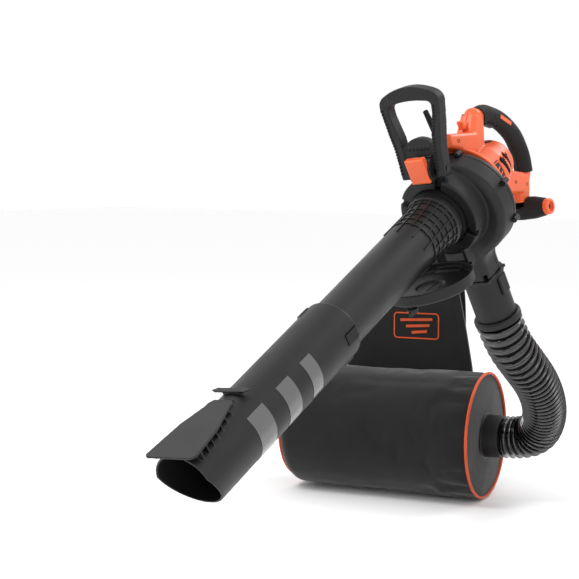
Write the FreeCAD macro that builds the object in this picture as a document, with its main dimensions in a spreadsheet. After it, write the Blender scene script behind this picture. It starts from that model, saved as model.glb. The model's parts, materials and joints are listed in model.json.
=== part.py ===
"""Backpack leaf vacuum and blower: power head, suction tube, hose and worn collecting bag.

The power head and its tube are drawn in their own upright frame: X to the right, Y back along the
fan's axis from the inlet to the motor, Z up, with the fan at 0, 0, 0.  One placement then tips that
frame nose down and puts the middle of the main grip at the part's origin.  The bag has a second
frame, with X along the bag's own axis.  Millimetres throughout.
"""
import FreeCAD, Part
import math
import os
import sys
import Sketcher
from FreeCAD import Placement, Rotation, Vector

SIZES = {
    # attitude of the power head, and where the main grip's middle is from the fan
    "nose_down_angle": 27.5, "lean_angle": -6, "grip_back": 232, "grip_up": 34,
    # fan case
    "case_radius": 104, "case_right": 10, "case_down": 16, "case_depth": 70, "case_rear": 20,
    "case_wall": 3, "neck_left": 57, "neck_right": 28, "neck_low": 174, "neck_curve": 40,
    "case_round": 16, "motor_hole": 24,
    # inlet collar, at the front of the fan case
    "collar_radius": 85, "collar_front": 94, "collar_bore": 62, "inlet_radius": 50,
    # suction tubes
    "tube_radius": 51, "tube_wall": 2.5, "tube_start": 64, "tube_end": 540, "flare_radius": 61,
    "flare_end": 104, "flare_taper": 150, "sleeve_start": 500,
    "sleeve_end": 552, "nozzle_radius": 58.5, "nozzle_bore": 55, "nozzle_end": 962,
    "nozzle_cut_angle": 24, "plate_low": 55.5, "plate_thick": 4,
    # motor housing and its arched main grip
    "barrel_radius": 62, "barrel_end": 166, "barrel_wall": 5, "barrel_front": 29, "skirt_radius": 88,
    "arch_radius": 16, "rubber_radius": 19.5,
    # motor and fan
    "shaft_radius": 5, "stator_radius": 40, "armature_radius": 24, "fan_radius": 76,
    "fan_hub": 22, "bearing_radius": 12, "spin_gap": 1,
    # bail handle
    "bail_forward": 78, "bail_up": 98, "bail_lean": 14, "bail_depth": 26, "pin_radius": 4,
    # inlet door
    "door_radius": 89, "door_thick": 9, "door_rim": 24, "door_hinge_forward": 97,
    "door_hinge_down": 104, "door_raised": 8,
    # outlet
    "outlet_shift": 8, "duct_radius": 42.5, "duct_wall": 2.5, "duct_top": 176, "duct_end": 278,
    "cuff_radius": 50, "cuff_length": 16, "hose_radius": 44,
    # bag, panel and straps
    "bag_yaw": 11.2, "bag_radius": 146, "bag_length": 470, "bag_skin": 6, "piping_radius": 3.5,
    "bag_collar_radius": 50, "bag_collar_length": 44, "panel_low_width": 330,
    "panel_top_width": 226, "panel_height": 420, "panel_thick": 14, "strap_width": 56,
    "strap_thick": 9,
    # auxiliary handle
    "aux_back": 195, "aux_down": 140, "aux_radius": 25, "aux_half": 56, "cap_length": 12,
}

document = FreeCAD.newDocument("leaf_vacuum")
sheet = document.addObject("Spreadsheet::Sheet", "Sizes")
for row, (alias, number) in enumerate(SIZES.items(), start=1):
    sheet.set(f"A{row}", alias)
    sheet.set(f"B{row}", str(number))
    sheet.setAlias(f"B{row}", alias)
document.recompute()


class Size:
    """A length or angle that keeps its number together with the sheet expression that gives it."""

    def __init__(self, number, text):
        self.number = float(number)
        self.text = text

    def __add__(self, other):
        other = sized(other)
        return Size(self.number + other.number, f"({self.text} + {other.text})")

    def __sub__(self, other):
        other = sized(other)
        return Size(self.number - other.number, f"({self.text} - {other.text})")

    def __mul__(self, factor):
        factor = sized(factor)
        return Size(self.number * factor.number, f"({self.text} * {factor.text})")

    def __truediv__(self, factor):
        return Size(self.number / factor, f"({self.text} / {factor})")

    def __neg__(self):
        return Size(-self.number, f"(0 - {self.text})")

    def __radd__(self, other):
        return sized(other) + self

    def __rsub__(self, other):
        return sized(other) - self

    def __rmul__(self, other):
        return self * other

    def __float__(self):
        return self.number


def sized(value):
    return value if isinstance(value, Size) else Size(value, repr(float(value)))


def dim(alias):
    """The sheet's value of that alias, as a Size that stays bound to its cell."""
    return Size(sheet.get(alias), f"Sizes.{alias}")


def bind(target, **sizes):
    for name, value in sizes.items():
        value = sized(value)
        setattr(target, name, value.number)
        target.setExpression(name, value.text)


X, Y, Z = Vector(1, 0, 0), Vector(0, 1, 0), Vector(0, 0, 1)


def vec(x, y, z):
    return Vector(float(x), float(y), float(z))


def at(x=0, y=0, z=0, along=Z, turn=0):
    """A placement whose own Z points along the given direction, after a turn about its own Z."""
    return Placement(vec(x, y, z), Rotation(Z, along).multiply(Rotation(Z, float(turn))))


TIP = Rotation(X, float(dim("nose_down_angle"))).multiply(Rotation(Y, float(dim("lean_angle"))))
GRIP = vec(0, dim("grip_back"), dim("grip_up"))
HEAD = Placement(-TIP.multVec(GRIP), TIP)
FAN_CENTRE = HEAD.Base
BAG_TURN = Rotation(Z, float(dim("bag_yaw")))
BAG_FACE = FAN_CENTRE + Vector(-199, 464, -575)
BAG = Placement(BAG_FACE, BAG_TURN)


# ---- building blocks -------------------------------------------------------------------------

def cylinder(name, radius, length, place=None):
    shape = document.addObject("Part::Cylinder", name)
    bind(shape, Radius=radius, Height=length)
    shape.Placement = place or Placement()
    return shape


def ring(name, radius, thick, place=None):
    shape = document.addObject("Part::Torus", name)
    bind(shape, Radius1=radius, Radius2=thick)
    shape.Placement = place or Placement()
    return shape


def block(name, width, depth, height, centre, turn=None):
    """A box by its middle, with an optional turn about that middle."""
    shape = document.addObject("Part::Box", name)
    bind(shape, Length=width, Width=depth, Height=height)
    half = vec(width, depth, height) * 0.5
    spin = turn or Rotation()
    shape.Placement = Placement(Vector(*centre) - spin.multVec(half), spin)
    return shape


def together(name, pieces):
    group = document.addObject("Part::Compound", name)
    group.Links = list(pieces)
    return group


def fuse(name, pieces):
    joined = document.addObject("Part::MultiFuse", name)
    joined.Shapes = list(pieces)
    return joined


def cut(name, base, tools):
    hollowed = document.addObject("Part::Cut", name)
    hollowed.Base = base
    hollowed.Tool = tools[0] if len(tools) == 1 else fuse(name + "_tools", tools)
    return hollowed


def common(name, first, second):
    shared = document.addObject("Part::MultiCommon", name)
    shared.Shapes = [first, second]
    return shared


def rounded(name, base, radius, chosen):
    """Rounds the edges of base that the chosen test picks."""
    document.recompute()
    edges = [i for i, edge in enumerate(base.Shape.Edges, start=1) if chosen(edge)]
    smooth = document.addObject("Part::Fillet", name)
    smooth.Base = base
    smooth.Edges = [(i, float(radius), float(radius)) for i in edges]
    document.recompute()
    return smooth


def freeform(name, shape):
    feature = document.addObject("Part::Feature", name)
    feature.Shape = shape
    return feature


def sketch_outline(body, role, corners):
    """A closed outline.  A corner is (x, y) or (x, y, r), r the signed radius of the arc after it."""
    plane = [item for item in body.Origin.OriginFeatures if item.Role == role][0]
    sketch = body.newObject("Sketcher::SketchObject", body.Name + "_outline")
    sketch.AttachmentSupport = [(plane, "")]
    sketch.MapMode = "FlatFace"
    points = [vec(corner[0], corner[1], 0) for corner in corners]
    starts = []
    for i, corner in enumerate(corners):
        first = points[i]
        last = points[(i + 1) % len(points)]
        if len(corner) == 2:
            sketch.addGeometry(Part.LineSegment(first, last))
            starts.append((1, 2))
            continue
        radius = abs(float(corner[2]))
        side = 1 if float(corner[2]) > 0 else -1
        chord = last - first
        rise = math.sqrt(max(radius**2 - (chord.Length / 2) ** 2, 0))
        centre = (first + last) * 0.5 + Vector(-chord.y, chord.x, 0).normalize() * rise * side
        angles = [math.atan2(p.y - centre.y, p.x - centre.x) for p in (first, last)]
        if side < 0:
            angles.reverse()
        sketch.addGeometry(Part.ArcOfCircle(Part.Circle(centre, Z, radius), *angles))
        starts.append((1, 2) if side > 0 else (2, 1))
        spot = sketch.addConstraint(Sketcher.Constraint("Radius", i, radius))
        given = sized(corner[2])
        sketch.setExpression(f"Constraints[{spot}]", (given if side > 0 else -given).text)
    for i, corner in enumerate(corners):
        after = (i + 1) % len(corners)
        sketch.addConstraint(Sketcher.Constraint("Coincident", i, starts[i][1], after, starts[after][0]))
        for kind, axis, value in (("DistanceX", -2, corner[0]), ("DistanceY", -1, corner[1])):
            value = sized(value)
            if value.number == 0:
                sketch.addConstraint(Sketcher.Constraint("PointOnObject", i, starts[i][0], axis))
                continue
            pin = Sketcher.Constraint(kind, i, starts[i][0], value.number)
            spot = sketch.addConstraint(pin)
            sketch.setExpression(f"Constraints[{spot}]", value.text)
    return sketch


def turned(name, corners, place=None):
    """A body turned about Z from an outline of (radius, height) corners."""
    body = document.addObject("PartDesign::Body", name)
    sketch = sketch_outline(body, "XZ_Plane", corners)
    turn = body.newObject("PartDesign::Revolution", name + "_turn")
    turn.Profile = sketch
    turn.ReferenceAxis = (sketch, ["V_Axis"])
    turn.Angle = 360
    body.Placement = place or Placement()
    return body


def slab(name, corners, thick, place=None):
    """A body padded up from an outline on its own XY plane."""
    body = document.addObject("PartDesign::Body", name)
    sketch = sketch_outline(body, "XY_Plane", corners)
    pad = body.newObject("PartDesign::Pad", name + "_pad")
    pad.Profile = sketch
    bind(pad, Length=thick)
    body.Placement = place or Placement()
    return body


def arc_path(points, share=0.45):
    """Straight runs joined by tangent arcs, each arc as large as its shorter run allows."""
    edges = []
    radii = []
    start = points[0]
    for before, corner, after in zip(points, points[1:], points[2:]):
        arriving = (corner - before).normalize()
        leaving = (after - corner).normalize()
        turn = arriving.getAngle(leaving)
        reach = share * min((corner - before).Length, (after - corner).Length)
        radii.append(reach / math.tan(turn / 2))
        enter = corner - arriving * reach
        leave = corner + leaving * reach
        centre = enter + (leaving - arriving * arriving.dot(leaving)).normalize() * radii[-1]
        middle = centre + (corner - centre).normalize() * radii[-1]
        edges.append(Part.LineSegment(start, enter).toShape())
        edges.append(Part.Arc(enter, middle, leave).toShape())
        start = leave
    edges.append(Part.LineSegment(start, points[-1]).toShape())
    return Part.Wire(edges), radii


def rod(points, radius):
    """A round bar along an arc path."""
    path, _ = arc_path(points)
    section = Part.Wire(Part.Circle(points[0], points[1] - points[0], float(radius)).toShape())
    return path.makePipeShell([section], True, True)


NODES = {}


def node(obj, frame, name=None):
    """Names a finished sub-part and moves it from its drawing frame into the part's frame."""
    obj.Label = name or obj.Name
    obj.Placement = frame.multiply(obj.Placement)
    NODES[obj.Label] = obj
    return obj


# ---- fan case --------------------------------------------------------------------------------

def case_outline(inset):
    """The fan case seen from the front: a round chamber that runs down into the outlet neck."""
    radius = dim("case_radius") - inset
    middle = dim("case_right")
    drop = -dim("case_down")
    left = -dim("neck_left") + inset
    right = dim("neck_right") - inset
    curve = dim("neck_curve") + inset
    low = -dim("neck_low")
    across = dim("neck_right") + dim("neck_curve") - middle
    reach = dim("case_radius") + dim("neck_curve")
    lean = math.sqrt(reach.number**2 - across.number**2) / reach.number
    return [
        (left, low),
        (right, low),
        (right, drop - reach * lean, -curve.number),
        (middle + radius * (across.number / reach.number), drop - radius * lean, radius),
        (middle + radius * 0.96, drop + radius * 0.28, radius),
        (middle - radius * 0.28, drop + radius * 0.96, radius),
        (middle - radius * 0.96, drop - radius * 0.28),
    ]


def case_solid(name, inset):
    rear = dim("case_rear") - inset
    depth = dim("case_depth") - inset * 2
    solid = slab(name, case_outline(inset), depth, at(0, rear, 0, -Y))
    solid.Placement = Placement(vec(0, rear, 0), Rotation(X, 90))
    radius = dim("case_round") - inset

    def on_a_face(edge):
        ends = edge.BoundBox
        flat = ends.YLength < 0.1
        low = ends.ZMax < -float(dim("neck_low")) + 1
        return flat and not low

    return rounded(name + "_round", solid, radius, on_a_face)


def fan_case():
    """The two halves of the fan case, with the inlet collar on the front one."""
    wall = dim("case_wall")
    for half, low_y, high_y in (("volute_front", -120, 0), ("volute_rear", 0, 80)):
        shell = cut(half + "_shell", case_solid(half + "_outer", sized(0)),
                    [case_solid(half + "_inner", wall),
                     block(half + "_mouth", 79, 64, 30, (-14.5, -15, -178))])
        side = common(half + "_half", shell,
                      block(half + "_side", 400, high_y - low_y, 500, (0, (low_y + high_y) / 2, 0)))
        if half == "volute_front":
            node(front_half(side), HEAD, half)
        else:
            rib = turned("rear_rib", [(64, 0), (84, 0), (80, 8), (64, 8)], at(0, 20, 0, Y))
            hole = cylinder("motor_opening", dim("motor_hole"), 40, at(0, 5, 0, Y))
            node(cut("rear_case", fuse("rear_case_raw", [side, rib]), [hole]), HEAD, half)


def front_half(side):
    """Front half: inlet collar with bayonet notches, bail bracket with its drum, and door lugs."""
    front = dim("collar_front")
    collar = turned("collar_ring", [
        (dim("inlet_radius"), 46), (dim("collar_radius") + 2, 46), (dim("collar_radius"), 58),
        (dim("collar_radius"), front - 3), (dim("collar_radius") - 3, front),
        (dim("collar_bore"), front), (dim("collar_bore"), 58), (dim("inlet_radius"), 58),
    ], at(0, 0, 0, -Y))
    bracket = block("bail_bracket", 50, 30, 41, (0, -78, 97.5))
    drum = cylinder("bail_drum", 26.4, 50, at(-25, -78, 98, X))
    lugs = [block(f"door_lug_{side_x}", 8, 26, 40, (side_x, -88, -90)) for side_x in (-34, 34)]
    body = fuse("front_raw", [side, collar, bracket, drum, *lugs])
    holes = [
        cylinder("inlet_hole", dim("inlet_radius"), 60, at(0, -20, 0, -Y)),
        cylinder("bail_pin_hole", dim("pin_radius"), 60, at(-30, -78, 98, X)),
        block("lock_pocket", 42.6, 22, 52.6, (0, -100.3, 108)),
        block("lock_stem_pocket", 18.6, 14, 12.6, (0, -86, 110)),
        cylinder("door_pin_hole", 3, 90, at(-45, -97, -104, X)),
    ]
    for angle in (70, 150, 330):
        spot = Rotation(Y, -angle).multVec(Vector(73, -88, 0))
        holes.append(block(f"bayonet_notch_{angle}", 24, 14, 14, spot, Rotation(Y, -angle)))
    return cut("front_case", body, holes)


def case_screws():
    """Four screws that join the two halves of the fan case through bosses outside the rim."""
    screws = []
    for i, angle in enumerate((20, 80, 160, 335)):
        spot = Rotation(Y, -angle).multVec(Vector(float(dim("case_radius")) + 3.5, 0, 0))
        spot += vec(dim("case_right"), 0, -dim("case_down"))
        head = cylinder(f"case_screw_head_{i}", 3.6, 3, at(spot.x, -8, spot.z, -Y))
        boss = cylinder(f"case_screw_boss_{i}", 6, 16, at(spot.x, 8, spot.z, -Y))
        screws.append(fuse(f"case_screw_{i}", [boss, head]))
    node(together("fan_case_screws", screws), HEAD)


# ---- motor and fan ---------------------------------------------------------------------------

def fan():
    """The fan wheel: a back plate with curved blades round a hub, turning on the motor shaft."""
    radius = dim("fan_radius")
    plate = turned("fan_plate", [
        (dim("shaft_radius"), -34), (dim("fan_hub"), -34), (dim("fan_hub"), 2), (radius, 8),
        (radius, 11), (dim("shaft_radius"), 11),
    ], at(0, 0, 0, Y))
    blades = []
    for i in range(8):
        spot = Rotation(Y, 45 * i)
        blades.append(block(f"fan_blade_{i}", 52, 38, 3, spot.multVec(Vector(45, -11, 0)),
                            spot.multiply(Rotation(Y, 24))))
    node(fuse("fan_wheel", [plate, *blades]), HEAD)
    shaft = cylinder("shaft_bar", dim("shaft_radius"), 181, at(0, -46, 0, Y))
    node(shaft, HEAD, "motor_shaft")
    nut = cut("fan_nut", cylinder("nut_round", 9, 8, at(0, -34, 0, -Y)),
              [cylinder("nut_bore", dim("shaft_radius"), 12, at(0, -32, 0, -Y))])
    node(nut, HEAD)
    cutter = cut("shredder_raw", block("shredder_bar", 84, 3, 16, (0, -44, 0)),
                 [cylinder("shredder_bore", dim("shaft_radius"), 20, at(0, -34, 0, -Y))])
    node(cutter, HEAD, "shredder_blade")


def motor():
    """A universal motor: laminated stator, armature, commutator, bearings and brush holders."""
    stator = dim("stator_radius")
    bore = dim("armature_radius") + dim("spin_gap")
    shaft = dim("shaft_radius")
    node(turned("motor_stator", [(bore, 50), (stator, 50), (stator, 94), (bore, 94)],
                at(0, 0, 0, Y)), HEAD)
    node(turned("armature", [
        (shaft, 46), (18, 46), (dim("armature_radius"), 52), (dim("armature_radius"), 92),
        (18, 98), (shaft, 98),
    ], at(0, 0, 0, Y)), HEAD)
    node(turned("commutator", [(shaft, 100), (13, 100), (13, 114), (shaft, 114)],
                at(0, 0, 0, Y)), HEAD)
    bearings = []
    for i, back in enumerate((30, 125)):
        bearings.append(turned(f"bearing_{i}", [
            (shaft + 0.03, back), (dim("bearing_radius"), back), (dim("bearing_radius"), back + 9),
            (shaft + 0.03, back + 9),
        ], at(0, 0, 0, Y)))
    node(together("motor_bearings", bearings), HEAD)
    holders = [block(f"brush_{side}", 22, 10, 9, (side * 25.5, 107, 0)) for side in (-1, 1)]
    node(together("brush_holders", holders), HEAD)


# ---- housing ---------------------------------------------------------------------------------

ARCH = [(131, 106), (168, 98), (216, 60), (248, 8), (252, -44), (240, -80), (204, -98)]


def arch_points(points):
    return [Vector(0, back, up) for back, up in points]


def rounded_bar(first, last, wide_first, deep_first, wide_last, deep_last, corner=9):
    """A loft between two rounded rectangles that face along the line from first to last."""
    along = (last - first).normalize()
    rings = []
    for spot, wide, deep in ((first, wide_first, deep_first), (last, wide_last, deep_last)):
        face = Part.makePlane(wide, deep, Vector(-wide / 2, -deep / 2, 0))
        solid = face.extrude(Vector(0, 0, 1))
        upright = [edge for edge in solid.Edges if edge.BoundBox.ZLength > 0.5]
        outline = solid.makeFillet(corner, upright)
        flat = min(outline.Faces, key=lambda part: part.CenterOfMass.z).OuterWire
        flat = flat.copy()
        flat.Placement = Placement(spot, Rotation(X, along.cross(X), along, "ZXY"))
        rings.append(flat)
    return Part.makeLoft(rings, True, True)


def housing_outer():
    """The whole orange housing as one closed form, before it is hollowed and split in two."""
    barrel = float(dim("barrel_radius"))
    end = float(dim("barrel_end"))
    skirt = float(dim("skirt_radius"))
    front = float(dim("barrel_front"))
    outline = Part.Wire([
        Part.LineSegment(Vector(0, front, 0), Vector(skirt, front, 0)).toShape(),
        Part.LineSegment(Vector(skirt, front, 0), Vector(skirt, front + 8, 0)).toShape(),
        Part.Arc(Vector(skirt, front + 8, 0), Vector(barrel + 7, front + 14, 0),
                 Vector(barrel, front + 27, 0)).toShape(),
        Part.LineSegment(Vector(barrel, front + 27, 0), Vector(barrel - 1, end - 66, 0)).toShape(),
        Part.LineSegment(Vector(barrel - 1, end - 66, 0), Vector(barrel - 14, end - 26, 0)).toShape(),
        Part.Arc(Vector(barrel - 14, end - 26, 0), Vector(barrel - 21, end - 8, 0),
                 Vector(barrel - 40, end, 0)).toShape(),
        Part.LineSegment(Vector(barrel - 40, end, 0), Vector(0, end, 0)).toShape(),
        Part.LineSegment(Vector(0, end, 0), Vector(0, front, 0)).toShape(),
    ])
    body = Part.Face(outline).revolve(Vector(), Y, 360)
    pillar = rounded_bar(Vector(0, 66, 44), Vector(0, 129, 108), 52, 62, 37, 40, 10)
    lobe = rounded_bar(Vector(0, 82, 72), Vector(0, 4, 118), 54, 46, 46, 28, 10)
    arch = rod(arch_points(ARCH), dim("arch_radius"))
    bracket = rounded_bar(Vector(0, 118, -34), Vector(0, 224, -96), 46, 58, 34, 42, 9)
    stub = rounded_bar(Vector(0, 215, -82), Vector(0, 196, -126), 34, 42, 28, 34, 9)
    crown = Part.makeSphere(18.5, Vector(0, 131, 109))
    return body.fuse([pillar, lobe, arch, bracket, stub, crown]).removeSplitter()


def housing():
    """Two orange half shells that meet on the middle plane, hollow where the motor sits."""
    whole = housing_outer()
    wall = float(dim("barrel_wall"))
    barrel = float(dim("barrel_radius")) - wall - 1
    seat = float(dim("bearing_radius")) + 0.02
    cavity = Part.makeCylinder(barrel, 64, Vector(0, 36, 0), Y)
    hollow = cavity.fuse([
        Part.makeCone(barrel, barrel - 9, 26, Vector(0, 100, 0), Y),
        Part.makeCylinder(seat, 111, Vector(0, 25, 0), Y),
        Part.makeBox(22, 26, 52, Vector(-11, 92, 48)),
        case_clearance(),
    ])
    whole = whole.cut(hollow)
    for side, name in ((-1, "housing_left"), (1, "housing_right")):
        half = Part.makeBox(200, 400, 500, Vector(min(0, side * 200), -50, -250))
        shell = whole.common(half)
        shell = shell.cut(Part.makeCompound(housing_openings()))
        node(freeform(name, shell.removeSplitter()), HEAD)


def case_clearance():
    """The space that the fan case takes, slightly enlarged."""
    radius = float(dim("case_radius")) + 1
    middle = vec(dim("case_right"), -54, -dim("case_down"))
    return Part.makeCylinder(radius, float(dim("case_rear")) + 55, middle, Y)


def housing_openings():
    """Slots, vents and pockets through the orange shells."""
    tools = [
        Part.makeBox(30, 26, 30, Vector(-15, 122, 40)),
        Part.makeBox(15, 44, 17, Vector(-7.5, -22, -6.5)),
        Part.makeCylinder(5.2, 36, Vector(-30, 133, 111), X),
    ]
    tools[1].Placement = TRIGGER.multiply(tools[1].Placement)
    for side in (-1, 1):
        for place in side_vent_places(side):
            slot = Part.makeBox(26, 12, 44, Vector(-13, -6, -22))
            slot.Placement = place.multiply(slot.Placement)
            tools.append(slot)
    return tools


def side_vent_places(side):
    """The middles of one side's two vents, on the barrel and on its tapered tail."""
    lean = Rotation(Y, side * 4).multiply(Rotation(X, 18))
    return [Placement(Vector(side * 60.5, 102, 6), lean),
            Placement(Vector(side * 53, 126, 6), Rotation(Z, side * 19).multiply(lean))]


TRIGGER = Placement(Vector(0, 174.2, 72.9), Rotation(X, -38.4))


def grips():
    """Rubber overmould on the arch, split with the shells, with a window for the orange inlay."""
    path = arch_points([(146, 102.5), *ARCH[1:5], (241, -78)])
    sleeve = rod(path, dim("rubber_radius")).cut(housing_outer())
    slot = Part.makeBox(17, 48, 34, Vector(-8.5, -24, -22))
    slot.Placement = TRIGGER
    inlay = inlay_form()
    for side, word in ((-1, "left"), (1, "right")):
        half = Part.makeBox(60, 300, 400, Vector(min(0, side * 60), 50, -200))
        node(freeform(f"rubber_grip_{word}", sleeve.common(half).cut(slot).cut(inlay)), HEAD)
    shells = [inlay.common(sleeve).common(Part.makeBox(60, 300, 400, Vector(min(0, s * 60), 50, -200)))
              for s in (-1, 1)]
    node(freeform("grip_inlays", Part.makeCompound(shells)), HEAD)


INLAY = Placement(Vector(0, 213.5, 58), Rotation(X, 41.6))


def inlay_form():
    """The narrow orange strip on each side of the grip, following the arch."""
    bar = Part.makeBox(60, 8, 42, Vector(-30, -4, -21))
    bar.Placement = INLAY.multiply(bar.Placement)
    core = Part.makeBox(26, 60, 60, Vector(-13, -30, -30))
    core.Placement = INLAY
    return bar.cut(core)


def controls():
    """Trigger with its spring, lock-on button, switch, and the cord inlet at the back."""
    bar = rounded("trigger_bar", block("trigger_block", 13, 36, 11, (0, 0, 0)), 3,
                  lambda edge: edge.BoundBox.XLength > 10)
    trigger = cut("trigger", bar, [cylinder("trigger_bore", 3.6, 20, at(0, 0, -2.5))])
    trigger.Placement = TRIGGER.multiply(Placement(Vector(0, 0, -2), Rotation()))
    node(trigger, HEAD)
    button = cylinder("lock_on_button", 5, 26, at(-24, 133, 111, X))
    node(button, HEAD)
    node(block("switch", 20, 24, 34, (0, 105, 78)), HEAD)
    spring = turned("trigger_spring", [(2, 0), (3.2, 0), (3.2, 9), (2, 9)],
                    TRIGGER.multiply(at(0, 0, 0.8)))
    node(spring, HEAD)
    guard = turned("cord_guard", [
        (0.001, 0), (9, 0), (9, 6), (7, 8), (5.4, 62), (3.6, 62), (3.6, 10), (0.001, 10),
    ], at(-14, 14, 125, Vector(0, -9, 64)))
    node(guard, HEAD)
    hook = fuse("cord_hook_raw", [
        block("hook_stem", 13, 22, 8, (0, 93, 108)), block("hook_tip", 13, 6, 18, (0, 83, 114)),
    ])
    node(hook, HEAD, "cord_hook")


def housing_trim():
    """Black vents, plain badges and the screws of the housing."""
    node(block("top_vent", 29, 24, 5, (0, 135, 46.5), Rotation(X, -19)), HEAD)
    grilles = []
    badges = []
    for side in (-1, 1):
        for i, place in enumerate(side_vent_places(side)):
            grille = block(f"side_vent_{side}_{i}", 4, 10.4, 42, (-side, 0, 0))
            grille.Placement = place.multiply(grille.Placement)
            grilles.append(grille)
        plate = Part.makeCylinder(62.9, 24, Vector(0, 59, 0), Y).cut(
            Part.makeCylinder(61, 24, Vector(0, 59, 0), Y))
        window_box = Part.makeBox(40, 60, 50, Vector(40 if side > 0 else -80, 50, -20))
        badges.append(plate.common(window_box))
    node(together("side_vents", grilles), HEAD)
    node(freeform("badges", Part.makeCompound(badges)), HEAD)
    screws = []
    for i, (back, up, reach) in enumerate((
        (24, 107, 23.8), (60, 60, 24.4), (186, 82, 19), (243, 16, 19), (251, -34, 19),
        (172, -66, 19.6), (212, -92, 17),
    )):
        screws.append(cylinder(f"housing_screw_{i}", 3.6, 4, at(reach - 3, back, up, X)))
    node(together("housing_screws", screws), HEAD)


def aux_handle():
    """The crosswise second handle below the front of the grip, with orange end caps and its bolt."""
    back = dim("aux_back")
    down = -dim("aux_down")
    radius = dim("aux_radius")
    half = dim("aux_half")
    grip = turned("aux_grip_raw", [
        (5, -half), (radius - 6.5, -half), (radius - 1.5, -half * 0.55), (radius, 0),
        (radius - 1.5, half * 0.55), (radius - 6.5, half), (5, half),
    ], at(0, back, down, X))
    saddle = block("aux_saddle", 31, 37.5, 34, (0, 197, -122), Rotation(X, -23))
    node(cut("aux_grip_body", grip, [saddle]), HEAD, "aux_handle_grip")
    caps = []
    for side in (-1, 1):
        start = (half + 0.1).number * side
        caps.append(turned(f"aux_cap_{side}", [
            (5.2, 0), (radius - 8, 0), (radius - 8, dim("cap_length") - 3),
            (radius - 10, dim("cap_length")), (10, dim("cap_length")), (10, 6), (5.2, 6),
        ], at(start, back, down, X * side)))
    node(together("aux_handle_caps", caps), HEAD)
    length = (half + dim("cap_length")) * 2 - 8
    node(cylinder("aux_handle_bolt", 4.9, length, at(-length.number / 2, back, down, X)), HEAD)


# ---- suction tubes ---------------------------------------------------------------------------

def tubes():
    """The upper tube in the collar, and the wider lower tube that slides over its end."""
    radius = dim("tube_radius")
    inner = radius - dim("tube_wall")
    flare = dim("flare_radius")
    corners = [
        (inner, dim("tube_start")), (flare, dim("tube_start")), (flare, dim("flare_end")),
        (flare - 2.5, dim("flare_end")), (flare - 3.5, dim("flare_end") + 12),
        (flare - 2, dim("flare_end") + 12), (flare - 3.5, dim("flare_end") + 18),
        (flare - 6, dim("flare_end") + 18), (radius, dim("flare_taper")),
        (radius, dim("tube_end")), (inner, dim("tube_end")),
    ]
    node(turned("upper_tube", corners, at(0, 0, 0, -Y)), HEAD)

    sleeve_bore = radius + 0.4
    bore = dim("nozzle_bore")
    outer = dim("nozzle_radius")
    barrel = turned("nozzle_barrel", [
        (sleeve_bore, dim("sleeve_start")), (outer - 1.5, dim("sleeve_start")),
        (outer, dim("sleeve_start") + 3), (outer, dim("nozzle_end")), (bore, dim("nozzle_end")),
        (bore, dim("sleeve_end") + 10), (sleeve_bore, dim("sleeve_end") - 8),
    ], at(0, 0, 0, -Y))
    plate = slab("nozzle_plate", [
        (-57, -960, 12), (-49, -968), (44, -968, 12), (53, -958), (44, -890), (24, -826, 20),
        (14, -806), (-24, -806, 20), (-32, -826), (-48, -876),
    ], dim("plate_thick"), at(0, 0, dim("plate_low")))
    ribs = []
    for i in range(7):
        back = -945 + 18 * i
        for side in (-1, 1):
            edge = 50 - 3.2 * i
            ribs.append(block(f"plate_rib_{side}_{i}", 15, 2.4, 18, (side * (edge - 6), back, 49)))
    clip = slab("tube_clip", [(-44, -786), (-34, -791), (30, -791), (40, -784), (30, -779), (-34, -779)],
                3, at(0, 0, 62))
    stem = block("clip_stem", 44, 4, 14, (0, -785, 57))
    bumps = [block(f"sleeve_bump_{a}", 12, 26, 5,
                   Rotation(Y, -a).multVec(Vector(58.5, -526, 0)), Rotation(Y, 90 - a))
             for a in (118, 300)]
    raw = fuse("nozzle_raw", [barrel, plate, clip, stem, *ribs, *bumps])
    slant = Rotation(X, float(dim("nozzle_cut_angle")))
    clear = cylinder("nozzle_clear", bore, 420, at(0, -562, 0, -Y))
    clear_sleeve = cylinder("sleeve_clear", sleeve_bore, 48, at(0, -498, 0, -Y))
    trim = block("nozzle_trim", 200, 120, 300, (0, -1012, -22), slant)
    slot = block("latch_slot", 30, 36.8, 21, (54, -521, 0))
    node(cut("nozzle_cut", raw, [clear, clear_sleeve, trim, slot]), HEAD, "lower_tube")
    tube_details()


# the middle of each window along the tube, and its length
WINDOWS = [(-646, 31), (-718, 38), (-802, 46)]


def window(back, width, first, last):
    """One wrap-round window: a thin curved pane let into the tube's outside."""
    outer = float(dim("nozzle_radius")) + 0.5
    pane = Part.makeCylinder(outer, width, Vector(0, back + width / 2, 0), -Y, last - first)
    core = Part.makeCylinder(outer - 0.48, width, Vector(0, back + width / 2, 0), -Y, 360)
    pane = pane.cut(core)
    pane.rotate(Vector(), Y, -(first + 90))
    return pane


def tube_details():
    """The lower tube's windows, and the ribbed catch that locks it to the upper tube."""
    panes = [window(back, width, -75, 36) for back, width in WINDOWS]
    node(freeform("tube_windows", Part.makeCompound(panes)), HEAD)
    catch = [block("latch_pad", 5, 36, 20.2, (57.4, -521, 0))]
    catch += [block(f"latch_rib_{i}", 2.4, 2, 20.2, (60.2, -534 + 5 * i, 0)) for i in range(6)]
    node(fuse("tube_latch_button", catch), HEAD)


# ---- inlet door ------------------------------------------------------------------------------

HINGE = vec(0, -dim("door_hinge_forward"), -dim("door_hinge_down"))
DOOR = Placement(HINGE, Rotation(X, -float(dim("door_raised")))).multiply(Placement(-HINGE, Rotation()))


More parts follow.
